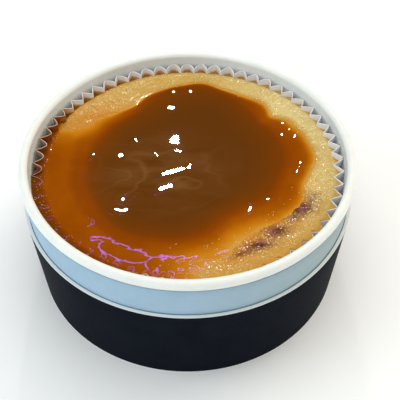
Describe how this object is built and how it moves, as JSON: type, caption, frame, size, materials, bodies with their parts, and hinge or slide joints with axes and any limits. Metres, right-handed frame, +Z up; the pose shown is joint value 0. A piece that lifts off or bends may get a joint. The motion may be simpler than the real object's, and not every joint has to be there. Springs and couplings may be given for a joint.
{
  "type": "cheesecake in a paper tub",
  "caption": "Round baked cheesecake with a caramel pool, in its pleated paper liner and a white paper tub with rolled rim and black board sleeve.",
  "frame": {"origin": "centre of the foot, on the surface that the tub stands on", "axes": "+Z up through the tub's centre; -Y towards the viewer, +X to the viewer's right, where the crust is widest at the front right"},
  "size_m": [0.1202, 0.1202, 0.0532],
  "materials": {
    "tub": "white coated paper, rolled at the rim",
    "outer_wall": "matte white paper",
    "sleeve": "matte black board with a white core at the cut edge",
    "liner": "thin white greaseproof paper, soaked brown where the caramel reaches it",
    "cheesecake": "moist golden baked cheese crust, fine grained",
    "caramel": "glossy dark caramel sauce, amber at its thin edge"
  },
  "bodies": {
    "root": {"tub": "tub", "outer_wall": "outer_wall", "sleeve": "sleeve", "liner": "liner", "cheesecake": "cheesecake", "caramel": "caramel"}
  },
  "joints": []
}
